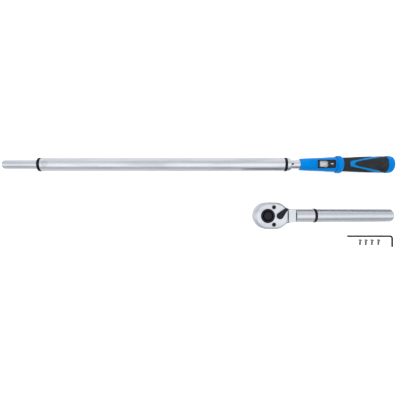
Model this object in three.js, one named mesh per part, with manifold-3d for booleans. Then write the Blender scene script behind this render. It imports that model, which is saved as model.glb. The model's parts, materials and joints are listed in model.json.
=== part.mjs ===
import * as THREE from "three";
import { mergeVertices } from "three/addons/utils/BufferGeometryUtils.js";
import Module from "manifold-3d";

const wasm = await Module();
wasm.setup();

// All lengths in millimetres. The bar is built along +X from the tip of its
// drive rod, the ratchet about the axis of its gear, and both are then placed.
const GAP = 0.3;
const ROUND = 20;
const FINE = 32;

// Where the pieces lie
const BAR_PLACE = [-493.1, 93.5, 22];
const RATCHET_PLACE = [160.1, -33.5];
const KEY_OUTER_X = 493.1;
const KEY_Y = -88;
const KEY_TIP_Y = -115.5;
const KEY_BACK_X = 375.6;
const SCREW_X = [407.7, 422.7, 438.2, 454.8];
const SCREW_HEAD_Y = -97.1;

// Drive rod, tube and click mechanism
const ROD_R = 11.1;
const RING_FRONT = 89.5;
const TUBE_FRONT = 96.5;
const TUBE_REAR = 700.8;
const TUBE_R = 16.6;
const TUBE_BORE_R = 13.5;
const RING_R = 17.1;
const PIVOT_X = 110;
const PIVOT_R = 7;
const LOCK_HOLE_X = [30, 65];
const LOCK_THREAD_R = 2.5;
const TAIL_R = 8;
const TOGGLE_R = 4;
const TOGGLE_FRONT = 188;
const TOGGLE_REAR = 200;
const PLUNGER_REAR = 222;
const SPRING_END = 423.7;
const SEAT_FRONT = 424;
const SEAT_REAR = 440;
const SPINDLE_R = 5;
const SPINDLE_FRONT = 398;

// Rear plug, scale housing and lock ring
const PLUG_FRONT = 664.3;
const SHOULDER_FRONT = 707;
const SHOULDER_REAR = 717;
const NECK_R = 11.1;
const NECK_REAR = 765;
const NECK_SCREW_X = 720.2;
const HOUSING_REAR = 829;
const SPIGOT_REAR = 841;
const HOUSING_PROFILE = [
  [740, 14.4], [760, 15.7], [785, 16.5], [800, 17.25], [813, 18.2], [829, 18.45],
];
const WINDOW_BEZEL = [780, 824, 20.3];
const WINDOW_SCALE = [785, 805, 16.2];
const COLLAR_PROFILE = [
  [829.3, 20.3], [831, 21.6], [834, 22], [838, 22], [840.6, 21.2], [842, 19.9],
];

// Grip
const CORE_R = 14.9;
const CORE_BORE_R = 12.2;
const LIP_PROFILE = [[842.3, 17.6], [842.8, 18.3], [844, 17.9]];
const GRIP_REAR = 952.1;
const GRIP_PROFILE = [
  [844.3, 17.1], [846, 17.5], [854, 17.4], [870, 18.25], [888, 19.2], [914, 20],
  [922, 19.6], [934, 20.25], [951, 20.3], [952.1, 19.6],
];
const INLAY_DEPTH = 1.3;
const INLAY_FRONT = [
  [858.7, 0], [861.1, 6.2], [866.7, 7.6], [884, 10.9], [908, 15.9], [921, 18.5], [936, 23],
];
const INLAY_REAR = [[949, 23], [938, 18.8], [930, 16], [906, 11.6], [883, 7.2], [872, 3.6], [869.5, 0]];
const CAP_PROFILE = [
  [943.5, 11.9], [952.5, 11.9], [952.5, 20.4], [953.7, 21.6], [960.5, 21.6], [966.8, 20.2],
  [969.6, 17], [971.3, 12], [972, 5.5],
];
const CAP_RECESS = 968;

// Ratchet
const HEAD_R = 32.4;
const HEAD_HALF = 15;
const HEAD_BEVEL = 3.4;
const CHEEK_END = 18;
const PLATE_Z = 11.3;
const HEAD_REAR = [[51.5, 17.5], [47, 19.6]];
const PLATE_HALF = 28;
const PLATE_REAR = [44, 17];
const PLATE_BULGE = 52;
const GEAR_TEETH = 36;
const GEAR_TIP_R = 21;
const GEAR_ROOT_R = 19;
const GEAR_HALF = 7;
const HUB_R = 16.75;
const HUB_TOP = 15.6;
const JOURNAL_R = 16;
const DRIVE_SIZE = 19.05;
const DRIVE_END = -39;
const BALL_R = 3.2;
const BALL_Y = 7.5;
const BALL_Z = -29;
const BUTTON_R = 12;
const LEVER_X = 29.4;
const LEVER_DISC_R = 8;
const LEVER_TIP = [14.3, 14.7];
const LEVER_TIP_R = 3.8;
const LEVER_SHAFT_R = 4;
const PAWL_SWING = 5;
const PAWL_STEPS = 8;
const COVER_SCREW = [14.7, 20.9];
const COVER_SCREW_R = 4.5;
const NECK_END = 72;
const NECK_HALF = 15.6;
const NECK_THICK = 11.8;
const FORGED_R = 16.2;
const FORGED_END = 117.3;
const SHANK_FRONT = 123.2;
const SHANK_END = 319;
const SHANK_R = 16.4;
const SHANK_BORE_R = 11.4;
const SHANK_CHAMFER = 4;
const SHANK_PIN_X = 145;
const SHANK_PIN_R = 3;
const REACH = SHANK_END - RING_FRONT;

// Loose pieces
const KEY_FLATS = 4;
const KEY_BEND_R = 5.5;
const SCREW_HEAD_R = 4.6;
const SCREW_R = 2.3;
const SCREW_LENGTH = 14.4;

const LOOKS = {
  chrome: [0xd3d8dd, 0.28, 1],
  satin: [0xc6cace, 0.42, 1],
  steel: [0x9ea1a4, 0.45, 1],
  black: [0x2a2c2e, 0.45, 0.6],
  rubber: [0x2b3135, 0.8, 0],
  blue: [0x0a7cd4, 0.4, 0],
  inlay: [0x1f92d8, 0.45, 0],
  scale: [0xd2d9dc, 0.6, 0],
  bezel: [0x1a2b3c, 0.35, 0],
  lens: [0xe6edf2, 0.1, 0],
  brass: [0xb9975a, 0.4, 1],
};

// ---------- shared helpers ----------

function solidTriangles(position, index) {
  const kept = [];
  for (let i = 0; i < index.count; i += 3) {
    const corners = [index.getX(i), index.getX(i + 1), index.getX(i + 2)];
    if (new Set(corners).size === 3) {
      kept.push(...corners);
    }
  }
  return kept;
}

function signedVolume(position, triangles) {
  const [a, b, c] = [new THREE.Vector3(), new THREE.Vector3(), new THREE.Vector3()];
  let volume = 0;
  for (let i = 0; i < triangles.length; i += 3) {
    a.fromBufferAttribute(position, triangles[i]);
    b.fromBufferAttribute(position, triangles[i + 1]);
    c.fromBufferAttribute(position, triangles[i + 2]);
    volume += a.dot(b.cross(c)) / 6;
  }
  return volume;
}

function body(geometry) {
  const bare = new THREE.BufferGeometry();
  bare.setAttribute("position", geometry.getAttribute("position"));
  bare.setIndex(geometry.index);
  const merged = mergeVertices(bare, 1e-4);
  const position = merged.getAttribute("position");
  const triangles = solidTriangles(position, merged.index);
  if (signedVolume(position, triangles) < 0) {
    triangles.reverse();
  }
  const mesh = new wasm.Mesh({
    numProp: 3,
    vertProperties: new Float32Array(position.array),
    triVerts: new Uint32Array(triangles),
  });
  return new wasm.Manifold(mesh);
}

function union(...bodies) {
  return bodies.reduce((all, next) => all.add(next));
}

function cut(base, ...tools) {
  return tools.reduce((left, tool) => left.subtract(tool), base);
}

function lathe(profile, segments) {
  const points = profile.map(([along, radius]) => new THREE.Vector2(radius, along));
  return new THREE.LatheGeometry(points, segments);
}

// [x, radius] pairs, closed onto the axis at both ends
function closed(profile) {
  return [[profile[0][0], 0], ...profile, [profile.at(-1)[0], 0]];
}

function turnedX(profile, segments = ROUND) {
  return body(lathe(closed(profile), segments).rotateZ(-Math.PI / 2));
}

// A turned ring about the X axis, from its outer [x, radius] pairs and its bore
function sleeveX(profile, bore, segments = ROUND) {
  const hole = turnedX([[profile[0][0] - 1, bore], [profile.at(-1)[0] + 1, bore]], segments);
  return turnedX(profile, segments).subtract(hole);
}

function turnedZ(profile, segments = ROUND) {
  return body(lathe(closed(profile), segments).rotateX(Math.PI / 2));
}

function rodX(x0, x1, radius, segments = ROUND) {
  return turnedX([[x0, radius], [x1, radius]], segments);
}

function rodY(x, z, y0, y1, radius, segments = 16) {
  const geometry = lathe([[y0, 0], [y0, radius], [y1, radius], [y1, 0]], segments);
  return body(geometry.translate(x, 0, z));
}

function rodZ(x, y, z0, z1, radius, segments = 20) {
  const geometry = lathe([[z0, 0], [z0, radius], [z1, radius], [z1, 0]], segments);
  return body(geometry.rotateX(Math.PI / 2).translate(x, y, 0));
}

function block(x0, x1, y0, y1, z0, z1) {
  const geometry = new THREE.BoxGeometry(x1 - x0, y1 - y0, z1 - z0);
  return body(geometry.translate((x0 + x1) / 2, (y0 + y1) / 2, (z0 + z1) / 2));
}

function prism(shape, z0, z1, bevel = 0, curve = 2) {
  const geometry = new THREE.ExtrudeGeometry(shape, {
    depth: z1 - z0 - 2 * bevel,
    bevelEnabled: bevel > 0,
    bevelThickness: bevel,
    bevelSize: bevel,
    bevelOffset: -bevel,
    bevelSegments: 1,
    curveSegments: curve,
  });
  return body(geometry.translate(0, 0, z0 + bevel));
}

function roundedRectangle(x0, x1, width, radius) {
  const shape = new THREE.Shape();
  const half = width / 2;
  shape.moveTo(x0 + radius, -half);
  shape.lineTo(x1 - radius, -half);
  shape.absarc(x1 - radius, -half + radius, radius, -Math.PI / 2, 0, false);
  shape.absarc(x1 - radius, half - radius, radius, 0, Math.PI / 2, false);
  shape.absarc(x0 + radius, half - radius, radius, Math.PI / 2, Math.PI, false);
  shape.absarc(x0 + radius, -half + radius, radius, Math.PI, 1.5 * Math.PI, false);
  return shape;
}

function hexagon(flats) {
  const corner = flats / Math.sqrt(3);
  const points = [];
  for (let i = 0; i < 6; i += 1) {
    const angle = (i + 0.5) * Math.PI / 3;
    points.push(new THREE.Vector2(corner * Math.cos(angle), corner * Math.sin(angle)));
  }
  return new THREE.Shape(points);
}

class Helix extends THREE.Curve {
  constructor(radius, length, turns) {
    super();
    Object.assign(this, { radius, length, turns });
  }

  getPoint(t) {
    const angle = 2 * Math.PI * this.turns * t;
    return new THREE.Vector3(t * this.length, this.radius * Math.cos(angle), this.radius * Math.sin(angle));
  }
}

// A coil spring about the X axis between the planes x0 and x1
function coilX(x0, x1, radius, wire, turns, stepsPerTurn = 10) {
  const circle = new THREE.Shape();
  circle.absarc(0, 0, wire, 0, 2 * Math.PI, false);
  const geometry = new THREE.ExtrudeGeometry(circle, {
    steps: Math.round(turns * stepsPerTurn),
    curveSegments: 3,
    bevelEnabled: false,
    extrudePath: new Helix(radius, x1 - x0 - 2.2 * wire, turns),
  });
  return body(geometry.translate(x0 + 1.1 * wire, 0, 0));
}

function toGeometry(solid) {
  const mesh = solid.getMesh();
  const geometry = new THREE.BufferGeometry();
  geometry.setAttribute("position", new THREE.BufferAttribute(new Float32Array(mesh.vertProperties), 3));
  geometry.setIndex(new THREE.BufferAttribute(new Uint32Array(mesh.triVerts), 1));
  geometry.computeVertexNormals();
  return geometry;
}

function moved(solid, matrix) {
  return body(toGeometry(solid).applyMatrix4(matrix));
}

function shifted(solid, x, y, z) {
  return moved(solid, new THREE.Matrix4().makeTranslation(x, y, z));
}

function turnedOver(solid, axis, degrees) {
  const [x, y, z] = axis;
  const matrix = new THREE.Matrix4().makeRotationAxis(new THREE.Vector3(x, y, z), degrees * Math.PI / 180);
  return moved(solid, matrix);
}

const part = new THREE.Group();
part.name = "torque_wrench_set";

function add(name, solid, look, place) {
  const [color, roughness, metalness] = LOOKS[look];
  const material = new THREE.MeshStandardMaterial({ color, roughness, metalness });
  const mesh = new THREE.Mesh(toGeometry(solid).applyMatrix4(place), material);
  mesh.name = name;
  part.add(mesh);
}

// ---------- drive rod, tube and click mechanism ----------

function driveLever() {
  const turned = turnedX([
    [0, 8.8], [0.8, 10], [2.6, ROD_R], [98.5, ROD_R], [100.5, 12.6],
    [121, 12.6], [125, TAIL_R], [TOGGLE_FRONT, TAIL_R],
  ]);
  const pivotHole = rodZ(PIVOT_X, 0, -20, 20, PIVOT_R + GAP);
  const groove = rodZ(TOGGLE_FRONT, 0, -20, 20, TOGGLE_R + GAP);
  const threads = LOCK_HOLE_X.flatMap((x) => [
    rodY(x, 0, 1.6, 20, LOCK_THREAD_R, 16),
    rodY(x, 0, -20, -1.6, LOCK_THREAD_R, 16),
  ]);
  return cut(turned, pivotHole, groove, ...threads);
}

function outerTube() {
  const tube = sleeveX([
    [TUBE_FRONT, TUBE_R - 0.6], [TUBE_FRONT + 0.6, TUBE_R],
    [TUBE_REAR - 0.6, TUBE_R], [TUBE_REAR, TUBE_R - 0.6],
  ], TUBE_BORE_R, FINE);
  return cut(tube, rodZ(PIVOT_X, 0, -20, 20, PIVOT_R + GAP));
}

function pivotPin() {
  const pin = rodZ(PIVOT_X, 0, -20, 20, PIVOT_R);
  const flush = rodX(PIVOT_X - 10, PIVOT_X + 10, TUBE_R - 0.15, FINE);
  const dimple = turnedZ([[15.6, 1], [17.2, 2.6]], 24);
  return cut(pin.intersect(flush), shifted(dimple, PIVOT_X, 0, 0));
}

function frontRing() {
  return sleeveX([
    [RING_FRONT, RING_R - 0.8], [RING_FRONT + 0.8, RING_R], [TUBE_FRONT - GAP - 0.6, RING_R],
    [TUBE_FRONT - GAP, RING_R - 0.6], [TUBE_FRONT - GAP, TUBE_BORE_R - GAP], [98.3, TUBE_BORE_R - GAP],
  ], ROD_R + 1.1);
}

function toggle() {
  const ends = [TOGGLE_FRONT, TOGGLE_REAR].map((x) => rodZ(x, 0, -5, 5, TOGGLE_R, 24));
  return union(block(TOGGLE_FRONT, TOGGLE_REAR, -2.6, 2.6, -5, 5), ...ends);
}

function plunger() {
  const piston = turnedX([
    [TOGGLE_REAR, 12.2], [TOGGLE_REAR + 1, 13.1], [PLUNGER_REAR, 13.1],
    [PLUNGER_REAR, 6], [PLUNGER_REAR + 9, 5.2],
  ]);
  return cut(piston, rodZ(TOGGLE_REAR, 0, -20, 20, TOGGLE_R + GAP));
}

function spindle() {
  const profile = [[SPINDLE_FRONT, 3.6]];
  for (let x = SPINDLE_FRONT + 2; x < SPINDLE_FRONT + 60; x += 8) {
    profile.push([x, SPINDLE_R], [x + 4, SPINDLE_R - 0.7]);
  }
  profile.push([464, SPINDLE_R], [646, SPINDLE_R], [646, 10], [651.7, 10], [651.7, SPINDLE_R]);
  profile.push([893, SPINDLE_R], [893, 4], [914, 4]);
  return turnedX(profile, 12);
}

function ballCage() {
  const cage = sleeveX([[656.6, 12], [658.8, 12]], 5.4, 20);
  const balls = [];
  for (let i = 0; i < 6; i += 1) {
    const angle = i * Math.PI / 3;
    const ball = new THREE.SphereGeometry(2.3, 7, 4);
    balls.push(body(ball.translate(657.7, 8.8 * Math.cos(angle), 8.8 * Math.sin(angle))));
  }
  return union(cage, ...balls);
}

function addMechanism(place) {
  add("outer_tube", outerTube(), "chrome", place);
  add("front_ring", frontRing(), "rubber", place);
  add("drive_lever", driveLever(), "chrome", place);
  add("pivot_pin", pivotPin(), "steel", place);
  add("toggle", toggle(), "steel", place);
  add("plunger", plunger(), "steel", place);
  add("main_spring", coilX(PLUNGER_REAR + GAP, SPRING_END, 9.7, 2.6, 10), "steel", place);
  add("spring_seat", sleeveX([[SEAT_FRONT, 12.4], [425, 13.1], [439, 13.1], [SEAT_REAR, 12.4]],
    SPINDLE_R + GAP), "brass", place);
  add("spindle", spindle(), "steel", place);
  add("thrust_race_front", sleeveX([[652, 12.8], [655, 12.8]], SPINDLE_R + GAP), "steel", place);
  add("ball_cage", ballCage(), "brass", place);
  add("thrust_race_rear", sleeveX([[660.4, 12.8], [664, 12.8]], SPINDLE_R + GAP), "steel", place);
}

// ---------- rear plug, scale housing and lock ring ----------

function rearPlug() {
  const turned = sleeveX([
    [PLUG_FRONT, 13.2], [SHOULDER_FRONT, 13.2], [SHOULDER_FRONT, 16.1], [SHOULDER_FRONT + 0.6, 16.7],
    [712, 16.6], [SHOULDER_REAR - 1.6, 15.6], [SHOULDER_REAR, 14.4], [SHOULDER_REAR, NECK_R],
    [NECK_REAR, NECK_R],
  ], 6.2);
  return cut(turned, rodZ(NECK_SCREW_X, 0, 7.6, 20, 2.6, 20));
}

function neckScrew() {
  const socket = shifted(prism(hexagon(2), 9.4, 12), NECK_SCREW_X, 0, 0);
  return cut(rodZ(NECK_SCREW_X, 0, 7.9, 10.5, 2.3, 20), socket);
}

function grown(profile, amount) {
  return profile.map(([x, radius]) => [x, radius + amount]);
}

function scaleHousing() {
  const outside = turnedX([...HOUSING_PROFILE, [HOUSING_REAR, 14.6], [SPIGOT_REAR, 14.6]], FINE);
  const inside = turnedX([
    [739, NECK_R + GAP], [767, NECK_R + GAP], [767, 13.2],
    [826, 13.2], [826, 11.5], [SPIGOT_REAR + 1, 11.5],
  ]);
  const [x0, x1, width] = WINDOW_BEZEL;
  const slot = prism(roundedRectangle(x0 - GAP, x1 + GAP, width + 2 * GAP, 5 + GAP), 4, 30);
  return cut(outside, inside, slot);
}

function windowShell(depthBelow, above) {
  const outer = turnedX(grown(HOUSING_PROFILE, above), FINE);
  return outer.subtract(turnedX(grown(HOUSING_PROFILE, -depthBelow), FINE));
}

function windowBezel() {
  const [x0, x1, width] = WINDOW_BEZEL;
  const [s0, s1, inner] = WINDOW_SCALE;
  const outer = turnedX(grown(HOUSING_PROFILE, 0.5), FINE);
  const frame = prism(roundedRectangle(x0, x1, width, 5), 4, 30).intersect(outer);
  const opening = prism(roundedRectangle(s0, s1, inner, 1.2), 0, 30);
  const field = prism(roundedRectangle(s1 + 1, x1 - 3, inner - 1.5, 3), 4, 30);
  const recess = field.intersect(windowShell(0.4, 2));
  const mark = prism(roundedRectangle(811.2, 818, 3.2, 0.9), 4, 30).intersect(windowShell(1, 2));
  return cut(frame, rodX(x0 - 2, x1 + 2, 13.6, FINE), opening, recess, mark);
}

function windowLens() {
  const [s0, s1, inner] = WINDOW_SCALE;
  const pane = prism(roundedRectangle(s0 + GAP, s1 - GAP, inner - 2 * GAP, 0.9), 4, 30);
  return pane.intersect(windowShell(1.6, -0.1));
}

function indexMark() {
  return prism(roundedRectangle(811.5, 817.7, 2.6, 0.6), 4, 30).intersect(windowShell(0.7, -0.3));
}

function lockRing() {
  const bore = turnedX([
    [829, 18.8], [835, 18.8], [835, 14.9], [838.5, 14.9], [838.5, 18.8], [843, 18.8],
  ], FINE);
  return cut(turnedX(COLLAR_PROFILE, FINE), bore);
}

function addHousing(place) {
  const rearRing = sleeveX([[701.1, 16.6], [701.8, RING_R], [706, RING_R], [706.7, 16.6]], 13.5);
  add("rear_ring", rearRing, "rubber", place);
  add("rear_plug", rearPlug(), "chrome", place);
  add("neck_screw", neckScrew(), "black", place);
  add("scale_housing", scaleHousing(), "blue", place);
  add("window_bezel", windowBezel(), "bezel", place);
  add("window_lens", windowLens(), "lens", place);
  add("index_mark", indexMark(), "scale", place);
  add("scale_carriage", sleeveX([[784.4, 12.9], [820.5, 12.9]], SPINDLE_R + GAP), "scale", place);
  add("lock_ring", lockRing(), "blue", place);
  add("lock_spring", coilX(HOUSING_REAR + GAP, 834.7, 16.7, 0.6, 2), "steel", place);
}

// ---------- grip ----------

// Half outline of the V: forward edge then rear edge, each pushed out by `grow`
function inlayShape(grow) {
  const upper = INLAY_FRONT.map(([x, y]) => [x - grow, y === 0 ? 0 : y + grow / 2]);
  const lower = INLAY_REAR.map(([x, y]) => [x + grow, y === 0 ? 0 : y - grow / 2]);
  const half = new THREE.SplineCurve(upper.map(([x, y]) => new THREE.Vector2(x, y))).getPoints(12);
  const back = new THREE.SplineCurve(lower.map(([x, y]) => new THREE.Vector2(x, y))).getPoints(10);
  const top = [...half, ...back];
  const bottom = top.slice(1, -1).reverse().map((point) => new THREE.Vector2(point.x, -point.y));
  return new THREE.Shape([...top, ...bottom]);
}

function gripBand(inner, outer) {
  return turnedX(grown(GRIP_PROFILE, outer), FINE).subtract(turnedX(grown(GRIP_PROFILE, inner), FINE));
}

function gripRubber() {
  const outside = sleeveX(GRIP_PROFILE, CORE_R + GAP, FINE);
  return cut(outside, prism(inlayShape(GAP), -30, 30).intersect(gripBand(-INLAY_DEPTH - GAP, 2)));
}

function gripInlay() {
  return prism(inlayShape(0), -30, 30).intersect(gripBand(-INLAY_DEPTH, 0.05));
}

function gripCore() {
  const outside = turnedX([...LIP_PROFILE, [LIP_PROFILE.at(-1)[0], CORE_R], [GRIP_REAR, CORE_R]], FINE);
  const inside = [
    rodX(SPIGOT_REAR, 893.3, CORE_BORE_R),
    rodX(893, 905.3, SPINDLE_R - 0.7, 12),
    rodX(905, 955, CORE_BORE_R),
  ];
  return cut(outside, ...inside);
}

function endCap() {
  const holes = [rodX(CAP_RECESS, 973, 4.2), rodX(943, 965, 9), rodX(964, 969, 2.3, 12)];
  return cut(turnedX(CAP_PROFILE, FINE), ...holes);
}

function capScrew() {
  const head = CAP_RECESS + GAP;
  const screw = union(rodX(head, head + 3, 3.9), rodX(959, head + 0.2, 2, 12));
  const socket = turnedOver(prism(hexagon(4), head + 1.3, head + 5), [0, 1, 0], 90);
  return cut(screw, socket);
}

function gripNut() {
  return cut(turnedOver(prism(hexagon(13), 905.6, 911.6), [0, 1, 0], 90), rodX(900, 920, 4.3, 20));
}

function addGrip(place) {
  add("grip_core", gripCore(), "blue", place);
  add("grip_rubber", gripRubber(), "rubber", place);
  add("grip_inlay", gripInlay(), "inlay", place);
  add("grip_nut", gripNut(), "steel", place);
  add("end_cap", endCap(), "blue", place);
  add("cap_screw", capScrew(), "black", place);
}

// ---------- ratchet ----------

// Half of a cheek: from the rear corner along a curve to the straight side
function addCheek(shape, corner, bend, half, straight) {
  shape.lineTo(...corner);
  shape.bezierCurveTo(...bend[0], ...bend[1], straight, half);
  shape.absarc(0, 0, half, Math.PI / 2, 1.5 * Math.PI, false);
  shape.lineTo(straight, -half);
  shape.bezierCurveTo(bend[1][0], -bend[1][1], bend[0][0], -bend[0][1], corner[0], -corner[1]);
}

// Round nose with straight sides that draw in to the neck
function headShape() {
  const [tail, corner] = HEAD_REAR;
  const shape = new THREE.Shape();
  shape.moveTo(...tail);
  addCheek(shape, corner, [[40, 23.2], [36, HEAD_R]], HEAD_R, CHEEK_END);
  shape.lineTo(tail[0], -tail[1]);
  shape.quadraticCurveTo(tail[0] + 3, 0, ...tail);
  return shape;
}

function neckShape() {
  const [x, y] = HEAD_REAR[1];
  const shape = new THREE.Shape();
  shape.moveTo(30, 25);
  shape.lineTo(x - 1, y);
  shape.quadraticCurveTo(54, 15.6, NECK_END, NECK_HALF);
  shape.lineTo(NECK_END, -NECK_HALF);
  shape.quadraticCurveTo(54, -15.6, x - 1, -y);
  shape.lineTo(30, -25);
  return shape;
}

function plateShape(grow) {
  const half = PLATE_HALF + grow;
  const corner = [PLATE_REAR[0] + grow, PLATE_REAR[1] + grow];
  const shape = new THREE.Shape();
  shape.moveTo(...corner);
  addCheek(shape, corner, [[39, 20.3 + grow], [34, half]], half, CHEEK_END - 1);
  shape.quadraticCurveTo(PLATE_BULGE + grow, 0, ...corner);
  return shape;
}

function gearShape(grow) {
  const tooth = [[-0.07, GEAR_ROOT_R], [-0.028, GEAR_TIP_R], [0.028, GEAR_TIP_R], [0.07, GEAR_ROOT_R]];
  const points = [];
  for (let i = 0; i < GEAR_TEETH; i += 1) {
    const centre = (i + 0.5) * 2 * Math.PI / GEAR_TEETH;
    for (const [offset, radius] of tooth) {
      const angle = centre + offset + Math.sign(offset) * grow / GEAR_TIP_R;
      points.push(new THREE.Vector2((radius + grow) * Math.cos(angle), (radius + grow) * Math.sin(angle)));
    }
  }
  return new THREE.Shape(points);
}

function sector(inner, outer, spread) {
  const shape = new THREE.Shape();
  shape.absarc(0, 0, outer, -spread, spread, false);
  shape.absarc(0, 0, inner, spread, -spread, true);
  return shape;
}

function swungPawl(solid, degrees) {
  return shifted(turnedOver(shifted(solid, -LEVER_X, 0, 0), [0, 0, 1], degrees), LEVER_X, 0, 0);
}

function pawl() {
  let blank = union(prism(sector(19.2, 24.6, 0.46), -6.5, 6.5, 0, 3), rodZ(LEVER_X, 0, -6.5, 6.5, 7));
  blank = cut(blank, rodZ(LEVER_X, 0, -10, 10, LEVER_SHAFT_R + GAP));
  const gear = prism(gearShape(0.2), -8, 8);
  for (let step = 0; step <= PAWL_STEPS; step += 1) {
    const degrees = PAWL_SWING * (2 * step / PAWL_STEPS - 1);
    blank = blank.subtract(swungPawl(gear, -degrees));
  }
  return swungPawl(blank, PAWL_SWING);
}

function ratchetHead() {
  const head = prism(headShape(), -HEAD_HALF, HEAD_HALF, HEAD_BEVEL, 7);
  const neck = prism(neckShape(), -NECK_THICK, NECK_THICK, 1.2, 4);
  const forging = turnedX([
    [NECK_END - 0.6, FORGED_R - 0.8], [NECK_END + 0.4, FORGED_R], [FORGED_END - 1, FORGED_R],
    [FORGED_END, FORGED_R - 1], [FORGED_END, 11.1], [165, 11.1],
  ], FINE);
  const pocket = union(
    rodZ(0, 0, -GEAR_HALF - GAP, 20, GEAR_TIP_R + 0.4, FINE),
    prism(sector(18, 26.4, 0.66), -GEAR_HALF - GAP, 20, 0, 3),
    rodZ(LEVER_X, 0, -GEAR_HALF - GAP, 20, 7.7),
    block(LEVER_X, 43.4, -1.8, 1.8, GEAR_HALF, 20),
  );
  const holes = [
    rodZ(0, 0, -20, 0, JOURNAL_R + GAP, FINE),
    rodZ(LEVER_X, 0, -11, 0, LEVER_SHAFT_R + GAP),
    prism(plateShape(0.25), PLATE_Z - GAP, 20, 0, 7),
    rodY(SHANK_PIN_X, 0, -20, 20, SHANK_PIN_R + GAP),
    ...[1, -1].map((side) => rodZ(COVER_SCREW[0], side * COVER_SCREW[1], 1, 20, 1.9, 16)),
  ];
  return cut(union(head, neck, forging), pocket, ...holes);
}

function countersunk(x, y, top, headR, shaftR, length) {
  const slope = headR - shaftR;
  const profile = [[top - length, shaftR], [top - slope - 0.6, shaftR], [top - 0.6, headR], [top, headR]];
  return shifted(turnedZ(profile, 18), x, y, 0);
}

function coverPlate() {
  const plate = prism(plateShape(0), PLATE_Z, HEAD_HALF, 0.35, 7);
  const sinks = [1, -1].map((side) => {
    const [x, y] = [COVER_SCREW[0], side * COVER_SCREW[1]];
    return countersunk(x, y, HEAD_HALF + 0.25, COVER_SCREW_R + 0.6, 2.1, 8);
  });
  const leverHole = rodZ(LEVER_X, 0, 0, 20, LEVER_SHAFT_R + GAP);
  return cut(plate, rodZ(0, 0, 0, 20, HUB_R + GAP, FINE), leverHole, ...sinks);
}

function coverScrew(side) {
  const [x, y] = [COVER_SCREW[0], side * COVER_SCREW[1]];
  const screw = countersunk(x, y, HEAD_HALF - 0.1, COVER_SCREW_R, 1.6, 12);
  return cut(screw, shifted(prism(hexagon(3.2), 12.9, 16), x, y, 0));
}

function driveGear() {
  const half = DRIVE_SIZE / 2;
  const square = new THREE.Shape([[-1, -1], [1, -1], [1, 1], [-1, 1]].map(
    ([x, y]) => new THREE.Vector2(x * half, y * half)));
  const gear = union(
    prism(gearShape(0), -GEAR_HALF, GEAR_HALF),
    turnedZ([[-HEAD_HALF - 0.6, JOURNAL_R - 0.5], [-HEAD_HALF, JOURNAL_R], [0, JOURNAL_R], [0, HUB_R],
      [HUB_TOP - 0.6, HUB_R], [HUB_TOP, HUB_R - 0.6]], FINE),
    prism(square, DRIVE_END, -10, 1.2),
  );
  return cut(gear,
    rodZ(0, 0, 9, 20, BUTTON_R + GAP, 24),
    rodZ(0, 0, 3, 20, 6.3),
    rodZ(0, 0, -36, 20, 3.3, 12),
    rodY(0, BALL_Z, 0, 20, BALL_R + GAP, 12));
}

function releaseButton() {
  return turnedZ([
    [-32.6, 3], [12.3, 3], [12.3, BUTTON_R], [15.7, BUTTON_R],
    [16.5, BUTTON_R - 1], [16, 5],
  ], 24);
}

function leverShape() {
  const [x, y] = LEVER_TIP;
  const length = Math.hypot(x, y);
  const along = Math.atan2(y, x);
  const shape = new THREE.Shape();
  const spread = Math.PI / 2 - Math.asin((LEVER_DISC_R - LEVER_TIP_R) / length) * 0.2;
  shape.absarc(0, 0, LEVER_DISC_R, along + 0.75, along - 0.75 + 2 * Math.PI, false);
  shape.lineTo(length * Math.cos(along) + LEVER_TIP_R * Math.cos(along - spread),
    length * Math.sin(along) + LEVER_TIP_R * Math.sin(along - spread));
  shape.absarc(x, y, LEVER_TIP_R, along - spread, along + spread, false);
  return shape;
}

function reversingLever() {
  const [x, y] = LEVER_TIP;
  const plate = shifted(prism(leverShape(), HEAD_HALF + GAP, 18.6, 0.8, 7), LEVER_X, 0, 0);
  const thumb = turnedZ([[16.5, 3.9], [20, 3.9], [21, 3.1]], 16);
  const shaft = rodZ(LEVER_X, 0, -10.6, 16.5, LEVER_SHAFT_R);
  return union(plate, shifted(thumb, LEVER_X + x, y, 0), shaft);
}

function shankRing() {
  const [front, rear] = [FORGED_END + GAP, SHANK_FRONT - GAP];
  return sleeveX([[front, 16.5], [front + 0.7, 17.2], [rear - 0.7, 17.2], [rear, 16.5]], SHANK_BORE_R);
}

function shankTube() {
  const tube = sleeveX([
    [SHANK_FRONT, SHANK_R - 0.8], [SHANK_FRONT + 0.8, SHANK_R], [SHANK_END - SHANK_CHAMFER, SHANK_R],
    [SHANK_END - 1.6, SHANK_R - 0.9], [SHANK_END, SHANK_R - 2.3],
  ], SHANK_BORE_R, FINE);
  const sinks = LOCK_HOLE_X.flatMap((x) => [1, -1].map((side) => lockSink(x + REACH, side)));
  return cut(tube, rodY(SHANK_PIN_X, 0, -20, 20, SHANK_PIN_R + GAP), ...sinks);
}

// Countersunk side hole for one locking screw
function lockSink(x, side) {
  const wide = SCREW_HEAD_R + GAP;
  const profile = [[5, 2.8], [SHANK_R - 2.6, 2.8], [SHANK_R - 0.4, wide], [20, wide]];
  const geometry = lathe([[5, 0], ...profile, [20, 0]], 14);
  return body(geometry.rotateX(side > 0 ? 0 : Math.PI).translate(x, 0, 0));
}

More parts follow.
